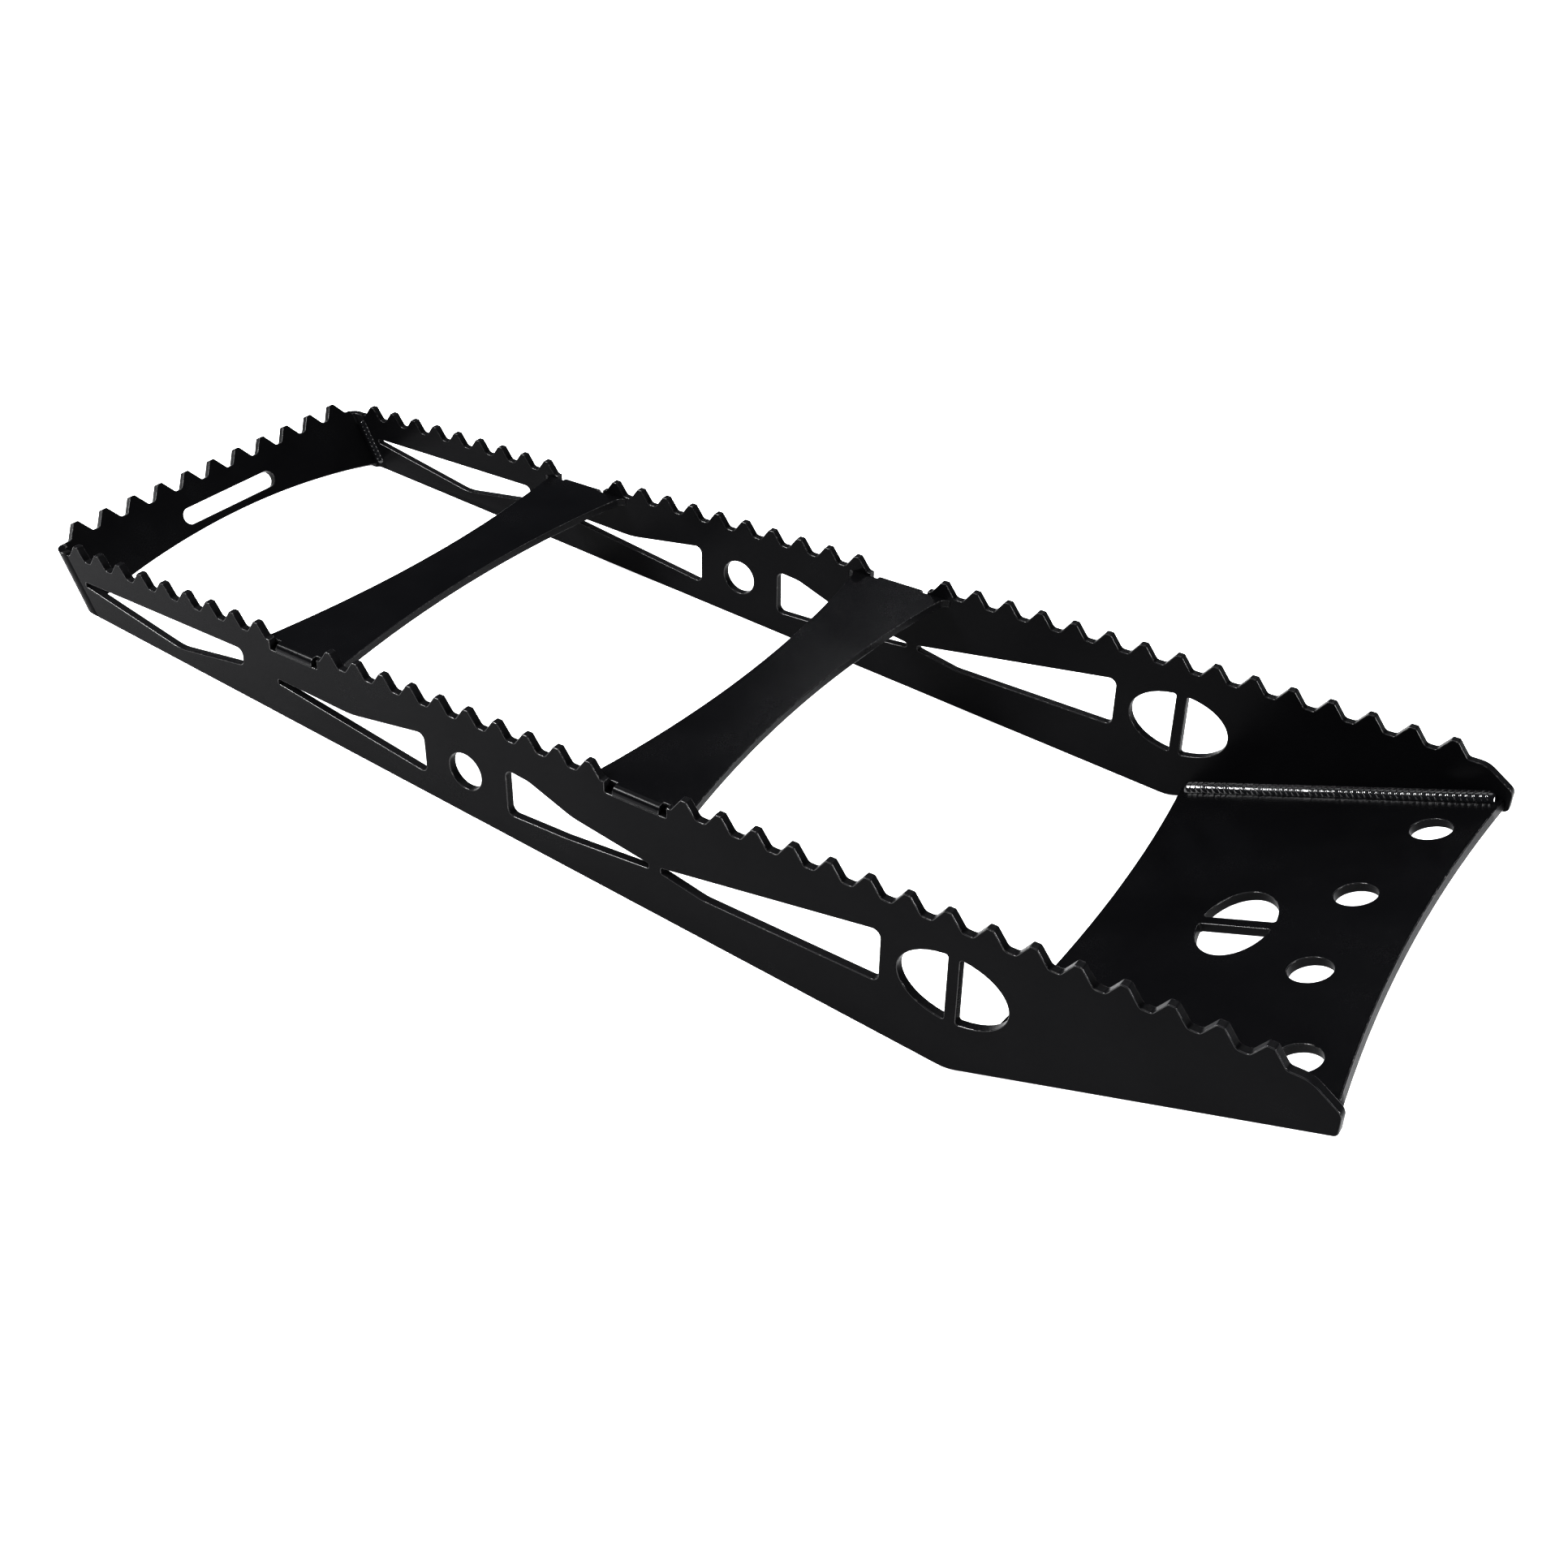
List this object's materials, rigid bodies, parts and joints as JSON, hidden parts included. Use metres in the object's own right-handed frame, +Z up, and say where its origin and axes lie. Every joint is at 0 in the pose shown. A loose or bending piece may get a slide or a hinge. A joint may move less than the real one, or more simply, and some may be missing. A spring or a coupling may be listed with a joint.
{
  "type": "traction ladder",
  "caption": "Rigid traction ladder for a stuck wheel: two toothed side plates joined by a toothed tail plate, waisted cross bands and a ramped nose plate with holes.",
  "frame": {"origin": "on the ground, under the middle of the ladder's length and width", "axes": "+X towards the ramped nose, +Y to the left side plate, +Z up, away from the ground"},
  "size_m": [0.794, 0.26, 0.0978],
  "materials": {
    "plates": "gloss black powder coat on steel plate",
    "welds": "gloss black powder coat over weld beads"
  },
  "bodies": {
    "root": {"left_side_plate": "plates", "right_side_plate": "plates", "tail_plate": "plates", "rear_cross_band": "plates", "front_cross_band": "plates", "nose_plate": "plates", "nose_weld_left": "welds", "nose_weld_right": "welds", "rear_cross_band_weld_left": "welds", "rear_cross_band_weld_right": "welds", "front_cross_band_weld_left": "welds", "front_cross_band_weld_right": "welds", "tail_weld_left": "welds", "tail_weld_right": "welds"}
  },
  "joints": []
}
